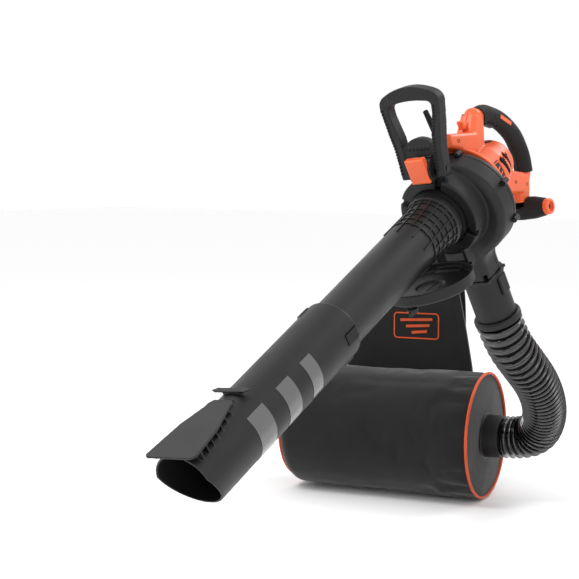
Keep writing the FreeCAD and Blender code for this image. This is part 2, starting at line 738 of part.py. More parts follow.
def door():
    """The round inlet door, hanging open below the tube, with its hinge pin and latch knob."""
    radius = dim("door_radius")
    down = -dim("door_hinge_down")
    middle = -dim("door_hinge_forward") - radius - 8
    thick = dim("door_thick")
    dish = turned("door_dish", [
        (0, 0), (radius - 4, 0), (radius, 4), (radius, dim("door_rim")),
        (radius - 3.5, dim("door_rim")), (radius - 3.5, thick), (30, thick), (26, thick - 4), (0, thick - 4),
    ], at(0, middle, down - 13, Z))
    barrel = cylinder("door_knuckle", 7, 58, at(-29, -dim("door_hinge_forward"), down, X))
    strap = block("door_strap", 58, 26, 10, (0, -112, -109))
    ribs = [block(f"door_rib_{i}", 3, 150, 6, (-40 + 20 * i, float(middle), -114)) for i in range(5)]
    shell = fuse("door_raw", [dish, strap, barrel, *ribs])
    bore = cylinder("door_bore", 3.05, 80, at(-40, -dim("door_hinge_forward"), down, X))
    knob_hole = cylinder("door_knob_hole", 5.2, 40, at(0, float(middle) - 74, -130, Z))
    node(cut("door_body", shell, [bore, knob_hole]), HEAD.multiply(DOOR), "inlet_door")
    node(cylinder("door_hinge_pin", 2.98, 88, at(-44, -dim("door_hinge_forward"), down, X)), HEAD)
    stem = cylinder("knob_stem", 5, 26, at(0, float(middle) - 74, -124, Z))
    disc = cylinder("knob_disc", 11, 5, at(0, float(middle) - 74, -122.8, -Z))
    wing = block("knob_wing", 6, 26, 9, (0, float(middle) - 74, -132))
    node(fuse("door_latch_knob", [stem, disc, wing]), HEAD.multiply(DOOR))


# ---- bail handle -----------------------------------------------------------------------------

BAIL = Placement(vec(0, -dim("bail_forward"), dim("bail_up")), Rotation(X, -float(dim("bail_lean"))))


def bail():
    """The tilting bail: a ribbed crossbar on two arms, pivoting on a pin through its bracket."""
    depth = dim("bail_depth")
    flat = Placement(vec(0, depth / 2, 0), Rotation(X, 90))
    outer = slab("bail_outer", [
        (-50, -14), (-31, -14), (-31, 24), (31, 24), (31, -14), (50, -14), (53, 44), (61, 82),
        (69, 130, 22), (57, 153, 120), (-57, 153, 22), (-69, 130), (-61, 82), (-53, 44),
    ], depth, flat)
    opening = slab("bail_opening", [
        (-33, 18), (33, 18), (37, 68), (42, 86), (49, 112), (50, 124, 10), (43, 135, 220),
        (-43, 135, 10), (-50, 124), (-49, 112), (-42, 86), (-37, 68),
    ], depth + 20, Placement(vec(0, depth / 2 + 10, 0), Rotation(X, 90)))
    web = cylinder("bail_web", 42, 18, at(0, 9, 24, -Y))
    clearance = block("bail_web_clear", 62, 60, 60, (0, 0, -2))
    bores = cylinder("bail_bore", dim("pin_radius") + 0.05, 120, at(-60, 0, 0, X))
    frame = cut("bail_frame", outer, [opening])
    body = cut("bail_body", fuse("bail_raw", [frame, web]), [clearance, bores])
    ribs = []
    for i in range(14):
        ribs.append(block(f"bail_rib_{i}", 4, 28.4, 14, (-44.2 + 6.8 * i, 0, 149)))
    for i in range(6):
        ribs.append(block(f"web_tooth_{i}", 5, 4, 7, (-22.5 + 9 * i, -10, 46)))
    node(fuse("bail_with_ribs", [body, *ribs]), HEAD.multiply(BAIL), "bail_handle")
    pin = cylinder("bail_pin", dim("pin_radius") - 0.02, 104, at(-52, 0, 0, X))
    node(pin, HEAD.multiply(BAIL))
    pad = rounded("bail_lock_pad", block("bail_lock_raw", 42, 15, 52, (0, -101, 108)), 4,
                  lambda edge: edge.BoundBox.YMax < -107)
    button = fuse("bail_lock_button", [pad, block("bail_lock_stem", 18, 9, 12, (0, -89, 110))])
    node(button, HEAD)


# ---- outlet, hose and bag --------------------------------------------------------------------

def outlet():
    """The outlet duct below the fan case, its press catch, and the cuff that the hose screws into."""
    shift = -dim("outlet_shift") - 6
    top = dim("duct_top")
    radius = dim("duct_radius")
    inner = radius - dim("duct_wall")
    duct = turned("duct_round", [
        (inner, top), (radius + 3, top), (radius + 3, top + 10), (radius, top + 14),
        (radius, dim("duct_end")), (inner, dim("duct_end")),
    ], at(shift, -2, 0, -Z))
    flange = block("duct_flange", 85, 76, 6, (float(shift), -12, -float(top) - 3))
    opening = cylinder("duct_way", inner, 40, at(shift, -2, -float(top) + 10, -Z))
    catch_slot = block("catch_slot", 14, 26.8, 40.8, (float(shift) + 42, -2, -206))
    node(cut("duct_cut", fuse("duct_raw", [duct, flange]), [opening, catch_slot]), HEAD, "outlet_adapter")
    pad = rounded("outlet_latch", block("outlet_latch_raw", 6, 26, 40, (float(shift) + 43.4, -2, -206)), 2,
                  lambda edge: edge.BoundBox.XMin > float(shift) + 46)
    node(pad, HEAD)
    cuff = dim("cuff_radius")
    node(turned("hose_cuff", [
        (inner, dim("duct_end") + 0.1), (cuff - 3, dim("duct_end") + 0.1),
        (cuff, dim("duct_end") + 4), (cuff, dim("duct_end") + dim("cuff_length") - 3),
        (cuff - 3, dim("duct_end") + dim("cuff_length")), (inner, dim("duct_end") + dim("cuff_length")),
    ], at(shift, -2, 0, -Z)), HEAD)


def hose_route():
    """The hose's route from the cuff to the bag's collar, chosen by hand, from the fan's middle."""
    shift = float(-dim("outlet_shift") - 6)
    start = TIP.multVec(Vector(shift, -2, -float(dim("duct_end") + dim("cuff_length"))))
    second = TIP.multVec(Vector(shift, -2, -float(dim("duct_end") + dim("cuff_length")) - 54))
    collar = BAG_TURN.multVec(Vector(float(dim("bag_collar_length")), 0, 0)) + BAG_FACE - FAN_CENTRE
    return [FAN_CENTRE + point for point in (
        start, second, Vector(30, 222, -364), Vector(20, 298, -410), Vector(0, 372, -462),
        Vector(-30, 436, -512), Vector(-66, 474, -556), Vector(-112, 481, -575), collar,
    )]


def hose():
    """The hose as a plain tube along its route."""
    route = hose_route()
    path, radii = arc_path(route)
    radius = float(dim("hose_radius"))
    wire = Part.Wire(Part.Circle(route[0], route[1] - route[0], radius).toShape())
    solid = path.makePipeShell([wire], True, True)
    print("hose arc radii, mm:", [round(value) for value in radii])
    print("hose length, mm:", round(path.Length), "diameter:", 2 * radius)
    print("hose volume / (section x length):", round(solid.Volume / (math.pi * radius**2 * path.Length), 3))
    for point in route:
        print("hose route, m:", [round(value / 1000, 4) for value in point])
    node(freeform("hose", solid), Placement())


def bag():
    """The barrel-shaped bag with its piping, zip and collar."""
    radius = dim("bag_radius")
    length = dim("bag_length")
    skin = dim("bag_skin")
    barrel = turned("bag_outer", [
        (0, 0), (radius - 8, 0), (radius, 8), (radius, length - 26), (radius - 22, length), (0, length),
    ], at(0, 0, 0, -X))
    inside = turned("bag_inside", [
        (0, skin), (radius - 8, skin), (radius - skin, skin + 8), (radius - skin, length - 26),
        (radius - 24, length - skin), (0, length - skin),
    ], at(0, 0, 0, -X))
    inlet = cylinder("bag_inlet", dim("bag_collar_radius") - 8, 40, at(-20, 0, 0, X))
    node(cut("bag_body", barrel, [inside, inlet]), BAG)
    rings = [ring("piping_0", radius - 1, dim("piping_radius"), at(4, 0, 0, X)),
             ring("piping_1", radius - 9, dim("piping_radius"), at(-length - 1, 0, 0, X))]
    rings = [cut(f"piping_trim_{i}", piece, [cylinder(f"piping_core_{i}", radius + 0.1, length,
             at(-length, 0, 0, X))]) for i, piece in enumerate(rings)]
    node(together("bag_piping", rings), BAG)
    collar = dim("bag_collar_radius")
    node(turned("bag_collar", [
        (collar - 8, 0.1), (collar + 12, 0.1), (collar + 12, 3), (collar, 5),
        (collar - 1, dim("bag_collar_length")), (collar - 8, dim("bag_collar_length")),
    ], at(0, 0, 0, X)), BAG)
    node(block("bag_zip", 300, 14, 4, (-235, 0, -float(radius) - 2.1)), BAG)


PANEL_BACK = 118
PANEL_MIDDLE = -252


def carrier():
    """The stiffened back panel that stands up behind the bag, with shoulder straps and buckles."""
    low = dim("panel_low_width") / 2
    top = dim("panel_top_width") / 2
    height = dim("panel_height")
    upright = Placement(Vector(PANEL_MIDDLE, PANEL_BACK + 48, 0), Rotation(X, 90))
    panel = slab("panel_slab", [
        (-low, -40), (low, -40), (low, 130), (top, height - 30, 34), (top - 30, height),
        (-top + 30, height, 34), (-top, height - 30), (-low, 130),
    ], dim("panel_thick"), upright)
    round_bag = cylinder("panel_bag_clear", dim("bag_radius") + 0.4, 520, at(-500, 0, 0, X))
    node(cut("panel_cut", panel, [round_bag]), BAG, "back_panel")
    straps = []
    buckles = []
    for side in (-1, 1):
        middle = PANEL_MIDDLE + side * 84
        half = float(dim("strap_width")) / 2
        face = PANEL_BACK + 48.1
        spine = [(face, 376), (face + 40, 372), (face + 92, 300), (face + 100, 190),
                 (face + 74, 80), (face + 30, 10), (face, 0)]
        straps.append(freeform(f"strap_{side}", strap_form(spine, middle - half, 2 * half)))
        buckles.append(block(f"buckle_{side}", 2 * half + 8, 8, 30, (middle, face + 76, 60),
                             Rotation(X, -24)))
    tri = together("shoulder_straps", straps)
    node(tri, BAG)
    node(together("strap_buckles", buckles), BAG)


def strap_form(spine, left, width):
    """A padded strap as a band of even thickness along a spine in the YZ plane."""
    thick = float(dim("strap_thick"))
    points = [Vector(left, back, up) for back, up in spine]
    outline = Part.BSplineCurve()
    outline.interpolate(points)
    samples = [outline.value(outline.FirstParameter + (outline.LastParameter - outline.FirstParameter) * i / 24)
               for i in range(25)]
    inner = []
    for i, point in enumerate(samples):
        before = samples[max(i - 1, 0)]
        after = samples[min(i + 1, len(samples) - 1)]
        normal = (after - before).cross(X).normalize()
        inner.append(point + normal * thick)
    face = Part.Face(Part.makePolygon(samples + inner[::-1] + [samples[0]]))
    return face.extrude(Vector(width, 0, 0))


def build():
    fan_case()
    case_screws()
    fan()
    motor()
    housing()
    grips()
    controls()
    housing_trim()
    aux_handle()
    tubes()
    door()
    bail()
    outlet()
    hose()
    bag()
    carrier()


def export():
    """Checks every object and writes each sub-part to its own file."""
    document.recompute()
    bad = [obj.Name for obj in document.Objects if "Invalid" in obj.State or "Error" in obj.State]
    bad += [name for name, obj in NODES.items() if obj.Shape.isNull() or not obj.Shape.isValid()
            or not obj.Shape.Solids]
    if bad:
        sys.exit(f"not exported, faulty: {bad}")
    os.makedirs("parts", exist_ok=True)
    for name, obj in NODES.items():
        obj.Shape.exportStep(f"parts/{name}.step")
    print(len(NODES), "sub-parts written")


build()
export()
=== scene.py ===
"""Looks of the backpack leaf vacuum: hose, bag, carrier, moulded plastics and their materials.

Lengths that end in _MM are millimetres, the rest are metres in the part's own frame, where the
origin is the middle of the main grip, +Y points back and +Z up.
"""
import json
import math

import bmesh
import bpy
import numpy as np
from mathutils import Matrix, Vector, noise

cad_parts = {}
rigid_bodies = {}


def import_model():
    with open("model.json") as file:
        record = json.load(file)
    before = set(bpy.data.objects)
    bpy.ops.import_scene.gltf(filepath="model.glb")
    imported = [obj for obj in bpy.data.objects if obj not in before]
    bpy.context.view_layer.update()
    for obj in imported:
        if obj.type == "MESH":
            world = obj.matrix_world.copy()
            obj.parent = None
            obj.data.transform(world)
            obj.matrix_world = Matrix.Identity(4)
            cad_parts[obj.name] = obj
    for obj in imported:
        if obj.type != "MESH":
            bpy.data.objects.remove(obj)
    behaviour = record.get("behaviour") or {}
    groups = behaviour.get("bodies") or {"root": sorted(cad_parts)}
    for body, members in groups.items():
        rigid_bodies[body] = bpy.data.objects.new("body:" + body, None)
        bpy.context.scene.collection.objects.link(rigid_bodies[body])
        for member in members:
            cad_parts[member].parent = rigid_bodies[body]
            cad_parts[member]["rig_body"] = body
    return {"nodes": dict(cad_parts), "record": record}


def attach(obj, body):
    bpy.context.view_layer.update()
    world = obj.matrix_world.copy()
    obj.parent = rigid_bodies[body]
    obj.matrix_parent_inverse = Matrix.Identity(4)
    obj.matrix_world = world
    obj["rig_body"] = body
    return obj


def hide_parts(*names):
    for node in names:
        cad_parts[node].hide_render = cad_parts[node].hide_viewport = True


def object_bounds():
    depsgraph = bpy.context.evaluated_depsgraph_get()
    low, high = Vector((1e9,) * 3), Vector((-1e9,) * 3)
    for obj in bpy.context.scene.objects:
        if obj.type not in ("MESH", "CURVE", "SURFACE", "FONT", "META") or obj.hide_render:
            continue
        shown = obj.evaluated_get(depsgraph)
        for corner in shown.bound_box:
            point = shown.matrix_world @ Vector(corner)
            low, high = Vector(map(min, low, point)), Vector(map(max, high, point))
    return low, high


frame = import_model()
CAD_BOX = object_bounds()
NODES = frame["nodes"]
BODY_OF = {name: obj["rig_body"] for name, obj in NODES.items()}
SLOT_OF = {part["node"]: part["material_slot"] for part in frame["record"]["subparts"]}
MM = 0.001

# ---- the two drawing frames ------------------------------------------------------------------

HEAD_TURN = Matrix.Rotation(math.radians(27.5), 3, "X") @ Matrix.Rotation(math.radians(-6), 3, "Y")
GRIP_MIDDLE = Vector((0, 232, 34)) * MM
FAN = -(HEAD_TURN @ GRIP_MIDDLE)
BAG_TURN = Matrix.Rotation(math.radians(11.2), 3, "Z")
BAG_FACE = FAN + Vector((-0.199, 0.464, -0.575))
HEAD = Matrix.Translation(FAN) @ HEAD_TURN.to_4x4()
BAG = Matrix.Translation(BAG_FACE) @ BAG_TURN.to_4x4()


def link(name, mesh):
    obj = bpy.data.objects.new(name, mesh)
    bpy.context.scene.collection.objects.link(obj)
    return obj


def add_piece(name, verts, faces, place, body, material, smooth=True, replaces=()):
    """A new mesh piece from millimetre points in a drawing frame, riding on a CAD body."""
    mesh = bpy.data.meshes.new(name)
    mesh.from_pydata([place @ (Vector(v) * MM) for v in verts], [], faces)
    mesh.validate()
    tool = bmesh.new()
    tool.from_mesh(mesh)
    bmesh.ops.remove_doubles(tool, verts=tool.verts, dist=1e-6)
    bmesh.ops.recalc_face_normals(tool, faces=tool.faces)
    tool.to_mesh(mesh)
    tool.free()
    return dress(link(name, mesh), body, material, smooth, replaces)


def dress(obj, body, material, smooth=True, replaces=()):
    obj.data.materials.clear()
    obj.data.materials.append(material)
    if smooth:
        soften(obj.data)
    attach(obj, body)
    if replaces:
        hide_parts(*replaces)
    return obj


def soften(mesh, angle=38):
    """Smooth shading, with edges sharper than the angle kept crisp."""
    mesh.polygons.foreach_set("use_smooth", [True] * len(mesh.polygons))
    tool = bmesh.new()
    tool.from_mesh(mesh)
    limit = math.radians(angle)
    for edge in tool.edges:
        edge.smooth = len(edge.link_faces) == 2 and edge.calc_face_angle(0) < limit
    tool.to_mesh(mesh)
    tool.free()


def grid_faces(rows, columns, close_rows=False, close_columns=True):
    """Quads of a rows by columns grid of points, each way closed or open."""
    faces = []
    for i in range(rows if close_rows else rows - 1):
        for j in range(columns if close_columns else columns - 1):
            a = i * columns + j
            b = i * columns + (j + 1) % columns
            c = ((i + 1) % rows) * columns + (j + 1) % columns
            d = ((i + 1) % rows) * columns + j
            faces.append((a, b, c, d))
    return faces


# ---- materials -------------------------------------------------------------------------------

def shader(name, color, roughness, coat=0.0, sheen=0.0, specular=0.5):
    """A new material with a Principled shader and the part's own coordinates."""
    material = bpy.data.materials.new(name)
    material.use_nodes = True
    nodes = material.node_tree.nodes
    principled = nodes["Principled BSDF"]
    principled.inputs["Base Color"].default_value = (*color, 1)
    principled.inputs["Roughness"].default_value = roughness
    principled.inputs["Coat Weight"].default_value = coat
    principled.inputs["Sheen Weight"].default_value = sheen
    principled.inputs["Specular IOR Level"].default_value = specular
    place = nodes.new("ShaderNodeTexCoord").outputs["Object"]
    return material, principled, place


def noise_of(material, place, scale, detail=4.0, stretch=(1, 1, 1), turn=(0, 0, 0)):
    tree = material.node_tree
    mapping = tree.nodes.new("ShaderNodeMapping")
    mapping.inputs["Scale"].default_value = stretch
    mapping.inputs["Rotation"].default_value = turn
    tree.links.new(place, mapping.inputs["Vector"])
    texture = tree.nodes.new("ShaderNodeTexNoise")
    texture.inputs["Scale"].default_value = scale
    texture.inputs["Detail"].default_value = detail
    tree.links.new(mapping.outputs["Vector"], texture.inputs["Vector"])
    return texture.outputs["Fac"]


def spread(material, value, low, high, target):
    """Drives a shader input between two values by a texture."""
    tree = material.node_tree
    ramp = tree.nodes.new("ShaderNodeMapRange")
    ramp.inputs["From Min"].default_value = 0.3
    ramp.inputs["From Max"].default_value = 0.7
    ramp.inputs["To Min"].default_value = low
    ramp.inputs["To Max"].default_value = high
    tree.links.new(value, ramp.inputs["Value"])
    tree.links.new(ramp.outputs["Result"], target)


def tint(material, value, dark, light, target):
    """Colours a shader input from dark to light by a texture."""
    tree = material.node_tree
    ramp = tree.nodes.new("ShaderNodeValToRGB")
    ramp.color_ramp.elements[0].position = 0.3
    ramp.color_ramp.elements[1].position = 0.7
    ramp.color_ramp.elements[0].color = (*dark, 1)
    ramp.color_ramp.elements[1].color = (*light, 1)
    tree.links.new(value, ramp.inputs["Fac"])
    tree.links.new(ramp.outputs["Color"], target)


def bump(material, principled, heights):
    """Stacks bumps: (height value, distance in metres, strength)."""
    tree = material.node_tree
    normal = None
    for height, distance, strength in heights:
        step = tree.nodes.new("ShaderNodeBump")
        step.inputs["Distance"].default_value = distance
        step.inputs["Strength"].default_value = strength
        tree.links.new(height, step.inputs["Height"])
        if normal:
            tree.links.new(normal, step.inputs["Normal"])
        normal = step.outputs["Normal"]
    tree.links.new(normal, principled.inputs["Normal"])


def scaled(color, factor):
    return tuple(min(1.0, channel * factor) for channel in color)


def plastic(name, color, roughness, grain=1600, depth=0.00012, coat=0.0, edge_highlight_gain=1.25, specular=0.5):
    """Moulded plastic: spark-eroded grain, cloudy gloss and paler convex edges, a painted highlight along the
    rims.
    """
    material, principled, place = shader(name, color, roughness, coat=coat, specular=specular)
    tree = material.node_tree
    cloud = noise_of(material, place, 14, 3)
    spread(material, cloud, roughness * 0.85, min(roughness * 1.18, 1), principled.inputs["Roughness"])
    # Convex edges are painted paler by the edge gain factor: a painted highlight along the rims, not wear.
    edge = tree.nodes.new("ShaderNodeNewGeometry").outputs["Pointiness"]
    painted_edge_highlight = tree.nodes.new("ShaderNodeMapRange")
    painted_edge_highlight.inputs["From Min"].default_value = 0.53
    painted_edge_highlight.inputs["From Max"].default_value = 0.62
    tree.links.new(edge, painted_edge_highlight.inputs["Value"])
    mix = tree.nodes.new("ShaderNodeMix")
    mix.data_type = "RGBA"
    tint(material, cloud, scaled(color, 0.92), scaled(color, 1.07), mix.inputs["A"])
    mix.inputs["B"].default_value = (*scaled(color, edge_highlight_gain), 1)
    tree.links.new(painted_edge_highlight.outputs["Result"], mix.inputs["Factor"])
    tree.links.new(mix.outputs["Result"], principled.inputs["Base Color"])
    bump(material, principled, [(noise_of(material, place, grain, 2), depth, 0.35)])
    return material


def metal(name, color, roughness, along=(1, 1, 1)):
    """Machined metal with fine tool marks."""
    material, principled, place = shader(name, color, roughness)
    principled.inputs["Metallic"].default_value = 1.0
    marks = noise_of(material, place, 500, 3, stretch=along)
    spread(material, marks, roughness * 0.8, roughness * 1.25, principled.inputs["Roughness"])
    bump(material, principled, [(marks, 0.00005, 0.4)])
    return material


def cloth(name, color, pitch, sheen=0.25, turn=0.0, roughness=0.88, weave=0.00025):
    """Woven fabric: crossed threads of the given pitch, soft fuzz and uneven dye."""
    material, principled, place = shader(name, color, roughness, sheen=sheen, specular=0.25)
    principled.inputs["Sheen Roughness"].default_value = 0.45
    tree = material.node_tree
    mapping = tree.nodes.new("ShaderNodeMapping")
    mapping.inputs["Rotation"].default_value = (0, 0, -turn)
    tree.links.new(place, mapping.inputs["Vector"])
    threads = []
    for direction in ("X", "Z"):
        wave = tree.nodes.new("ShaderNodeTexWave")
        wave.bands_direction = direction
        wave.inputs["Scale"].default_value = 1 / (pitch * 3.2)
        wave.inputs["Distortion"].default_value = 0.6
        wave.inputs["Detail"].default_value = 1.0
        tree.links.new(mapping.outputs["Vector"], wave.inputs["Vector"])
        threads.append(wave.outputs["Fac"])
    crossed = tree.nodes.new("ShaderNodeMath")
    crossed.operation = "MAXIMUM"
    tree.links.new(threads[0], crossed.inputs[0])
    tree.links.new(threads[1], crossed.inputs[1])
    dye = noise_of(material, place, 9, 5)
    tint(material, dye, scaled(color, 0.8), scaled(color, 1.25), principled.inputs["Base Color"])
    creases = noise_of(material, place, 26, 4, stretch=(0.35, 1, 1))
    bump(material, principled, [(crossed.outputs["Value"], weave, 0.6), (creases, 0.003, 0.25)])
    return material


# The last factor of each plastic sets how much paler its painted edge highlight is.
ORANGE = plastic("orange_plastic", (0.78, 0.115, 0.028), 0.38, grain=1400, depth=0.00008, edge_highlight_gain=1.08)
BLACK = plastic("black_plastic", (0.0085, 0.0085, 0.009), 0.50, edge_highlight_gain=1.6, specular=0.32)
TUBE = plastic("tube_plastic", (0.0075, 0.0075, 0.008), 0.42, grain=2200, depth=0.00006, edge_highlight_gain=1.5,
               specular=0.36)
RUBBER = plastic("grip_rubber", (0.0095, 0.0095, 0.010), 0.66, grain=900, depth=0.0002, edge_highlight_gain=1.3,
                 specular=0.28)
GLOSS = plastic("hose_plastic", (0.004, 0.004, 0.0042), 0.14, grain=600, depth=0.00004, coat=0.8, edge_highlight_gain=1.3)
WINDOW = plastic("window_plastic", (0.085, 0.085, 0.088), 0.20, grain=500, depth=0.00003, coat=0.5, edge_highlight_gain=1.1)
VENT = plastic("vent_black", (0.003, 0.003, 0.003), 0.6, edge_highlight_gain=1.4, specular=0.25)
STEEL = metal("steel", (0.55, 0.55, 0.57), 0.3, along=(1, 6, 1))
DARK_STEEL = metal("dark_steel", (0.06, 0.06, 0.065), 0.4)
LAMINATION = metal("laminated_steel", (0.35, 0.35, 0.37), 0.45, along=(1, 20, 1))
COPPER = metal("copper", (0.72, 0.33, 0.18), 0.3)
ALLOY = metal("fan_alloy", (0.6, 0.61, 0.62), 0.42)
BAG_CLOTH = cloth("bag_cloth", (0.0085, 0.0080, 0.0078), 0.0011, turn=math.radians(11.2))
PANEL_CLOTH = cloth("panel_cloth", (0.0095, 0.009, 0.0088), 0.0016, turn=math.radians(11.2))
WEBBING = cloth("webbing", (0.011, 0.011, 0.0115), 0.0022, turn=math.radians(11.2), weave=0.0005)
PIPING = cloth("piping_cloth", (0.60, 0.075, 0.016), 0.0014, sheen=0.15, roughness=0.6)
PRINT = cloth("orange_print", (0.55, 0.075, 0.018), 0.0016, sheen=0.05, roughness=0.55)

SLOT_MATERIAL = {
    "orange_housing": ORANGE, "black_case": BLACK, "black_tube": TUBE, "grip_rubber": RUBBER,
    "window_grey": WINDOW, "hose_black": GLOSS, "bag_fabric": BAG_CLOTH, "piping_orange": PIPING,
    "webbing": WEBBING, "steel": STEEL, "screw_black": DARK_STEEL, "laminated_steel": LAMINATION,
    "copper": COPPER, "fan_alloy": ALLOY,
}


def dress_cad_nodes():
    """Gives every carried-over CAD node its slot's material and smooth shading."""
    for name, obj in NODES.items():
        obj.data.materials.clear()
        material = SLOT_MATERIAL[SLOT_OF[name]]
        if name in ("top_vent", "side_vents"):
            material = VENT
        if name in ("aux_handle_bolt", "bail_pin", "door_hinge_pin"):
            material = DARK_STEEL
        obj.data.materials.append(material)
        soften(obj.data, 30)


# ---- camera, floor and light -----------------------------------------------------------------

def set_camera():
    """The photograph's viewpoint: from the front right, a little above the grip's height."""
    data = bpy.data.cameras.new("camera")
    data.sensor_width = 36
    data.lens = 99.5
    camera = link("camera", data)
    camera.location = FAN + Vector((1.632, -2.779, 0.0906))
    camera.rotation_euler = (math.radians(85), 0, math.radians(36.5))
    bpy.context.scene.camera = camera


FLOOR_WIDE = 28.0


def set_stage():
    """A plain pale floor, a pale surround and three soft lights."""
    floor_z = CAD_BOX[0][2] - 0.0005
    half = FLOOR_WIDE / 2
    mesh = bpy.data.meshes.new("floor")
    mesh.from_pydata([(-half, -half, floor_z), (half, -half, floor_z), (half, half, floor_z),
                      (-half, half, floor_z)], [], [(0, 1, 2, 3)])
    floor = link("floor", mesh)
    material, principled, place = shader("floor_white", (0.97, 0.97, 0.97), 0.8, specular=0.1)
    spread(material, noise_of(material, place, 2, 2), 0.78, 0.84, principled.inputs["Roughness"])
    mesh.materials.append(material)
    world = bpy.data.worlds.new("surround")
    world.use_nodes = True
    world.node_tree.nodes["Background"].inputs["Color"].default_value = (1, 1, 1, 1)
    world.node_tree.nodes["Background"].inputs["Strength"].default_value = 1.0
    bpy.context.scene.world = world
    for name, spot, size, power in (
        ("key_light", (-1.4, -1.8, 2.4), 1.2, 46), ("fill_light", (2.6, -1.6, 1.0), 1.2, 14),
        ("rim_light", (0.8, 2.4, 2.2), 1.2, 34),
    ):
        data = bpy.data.lights.new(name, "AREA")
        data.size = size
        data.energy = power
        light = link(name, data)
        light.location = spot
        light.rotation_euler = (FAN - Vector(spot)).to_track_quat("-Z", "Y").to_euler()
    bpy.context.scene.view_settings.view_transform = "Standard"


# ---- hose ------------------------------------------------------------------------------------

HOSE_ROUTE = [
    (0.0204, -0.0563, -0.3987), (0.0260, -0.0315, -0.4463), (0.0336, 0.0318, -0.5011),
    (0.0236, 0.1078, -0.5471), (0.0036, 0.1818, -0.5991), (-0.0264, 0.2458, -0.6491),
    (-0.0624, 0.2838, -0.6931), (-0.1084, 0.2908, -0.7121), (-0.1523, 0.2824, -0.7121),
]


def hose_line():
    """Points along the smooth line that the listed route controls."""
    curve = bpy.data.curves.new("hose_line", "CURVE")
    curve.dimensions = "3D"
    curve.resolution_u = 24
    spline = curve.splines.new("NURBS")
    spline.points.add(len(HOSE_ROUTE) - 1)
    for point, place in zip(spline.points, HOSE_ROUTE):
        point.co = (*place, 1)
    spline.order_u = 3
    spline.use_endpoint_u = True
    holder = link("hose_line", curve)
    bpy.context.view_layer.update()
    mesh = bpy.data.meshes.new_from_object(holder)
    line = [vertex.co.copy() for vertex in mesh.vertices]
    bpy.data.objects.remove(holder)
    return line


def even_steps(line, shares):
    """Places along a line at the given shares of its length."""
    lengths = [0.0]
    for a, b in zip(line, line[1:]):
        lengths.append(lengths[-1] + (b - a).length)
    xyz = np.array([tuple(p) for p in line])
    spots = np.array(shares) * lengths[-1]
    return [Vector([float(np.interp(s, lengths, xyz[:, k])) for k in range(3)]) for s in spots]


def frames_along(places):
    """Two vectors across the line at each place, turned as little as possible from one to the next."""
    sides = []
    side = None
    for i in range(len(places)):
        ahead = places[min(i + 1, len(places) - 1)] - places[max(i - 1, 0)]
        ahead.normalize()
        if side is None:
            side = ahead.orthogonal().normalized()
        side = (side - ahead * side.dot(ahead)).normalized()
        sides.append((side.copy(), ahead.cross(side).normalized()))
    return sides


def make_hose():
    """The ribbed hose: wire-stiffened crests, with stretched film in the valleys between."""
    rib = ((0.00, 0.0402), (0.08, 0.0408), (0.15, 0.0450), (0.20, 0.0483), (0.26, 0.0493),
           (0.33, 0.0491), (0.39, 0.0478), (0.44, 0.0445), (0.52, 0.0412), (0.66, 0.0403),
           (0.82, 0.0399))
    ribs = 34
    shares = []
    radii = []
    for i in range(ribs):
        for share, radius in rib:
            part = (i + share) / ribs
            shares.append(part * 1.14 - 0.14 * part**2)
            radii.append(radius)
    shares.append(1.0)
    radii.append(rib[0][1])
    line = hose_line()
    places = even_steps(line, shares)
    sides = frames_along(places)
    columns = 72
    verts = []
    for place, radius, (side, up) in zip(places, radii, sides):
        for j in range(columns):
            angle = 2 * math.pi * j / columns
            verts.append((place + (side * math.cos(angle) + up * math.sin(angle)) * radius) / MM)
    faces = grid_faces(len(places), columns)
    faces.append(tuple(range(columns)))
    faces.append(tuple(range(len(verts) - columns, len(verts))))
    hose = add_piece("hose_ribbed", verts, faces, Matrix(), "head", GLOSS, True, ("hose",))


# ---- bag -------------------------------------------------------------------------------------

BAG_RADIUS_MM = 145
BAG_LENGTH_MM = 470
BAG_FLAT_MM = -144.6
SEAM_MM = 7


def bag_skin(x, angle):
    """A point of the slack barrel, x millimetres from its collar end."""
    share = x / BAG_LENGTH_MM
    radius = BAG_RADIUS_MM - 2.0 * math.sin(math.pi * share)
    shoulder = max(0.0, (share - 0.93) / 0.07)
    radius -= 18 * shoulder**2
    across = math.cos(angle)
    up = math.sin(angle)
    place = Vector((share * 3.2, across * 1.3, up * 1.3))
    radius += 2.2 * noise.noise(place * 1.1) + 0.9 * noise.noise(place * 3.1)
    crease = math.exp(-((up - 0.86) / 0.05) ** 2) * math.exp(-((share - 0.5) / 0.34) ** 4)
    radius -= 2.6 * crease if across < 0.1 else 1.2 * crease
    folds = math.sin(angle * 17 + 2 * noise.noise(place * 2)) * math.exp(-x / 26)
    folds += math.sin(angle * 13 + 1.3) * math.exp(-(BAG_LENGTH_MM - x) / 30)
    radius += 0.8 * folds
    height = radius * up
    return (-x, radius * across, max(height, BAG_FLAT_MM))


def make_bag():
    """The fabric barrel with two crowned ends, one slack closed skin."""
    rows = 92
    columns = 160
    verts = []
    for i in range(rows):
        for j in range(columns):
            verts.append(bag_skin(BAG_LENGTH_MM * i / (rows - 1), 2 * math.pi * j / columns))
    faces = grid_faces(rows, columns)
    for near in (True, False):
        rim = [verts[j] for j in range(columns)] if near else verts[(rows - 1) * columns:rows * columns]
        first = 0 if near else (rows - 1) * columns
        previous = list(range(first, first + columns))
        rings = 18
        for k in range(1, rings):
            share = 1 - k / rings
            crown = (5 if near else 13) * (1 - share**2)
            ring = []
            for j, (x, y, z) in enumerate(rim):
                dimple = 1.2 * noise.noise(Vector((y * share, z * share, x)) * 0.012)
                ring.append(len(verts))
                out = crown + dimple
                verts.append((x + (out if near else -out), y * share, z * share))
            for j in range(columns):
                after = (j + 1) % columns
                faces.append((previous[j], previous[after], ring[after], ring[j]))
            previous = ring
        faces.append(tuple(previous))
    bag = add_piece("bag_cloth_barrel", verts, faces, BAG, "head", BAG_CLOTH, True,
                    ("bag_body",))
    settle_cloth(bag)


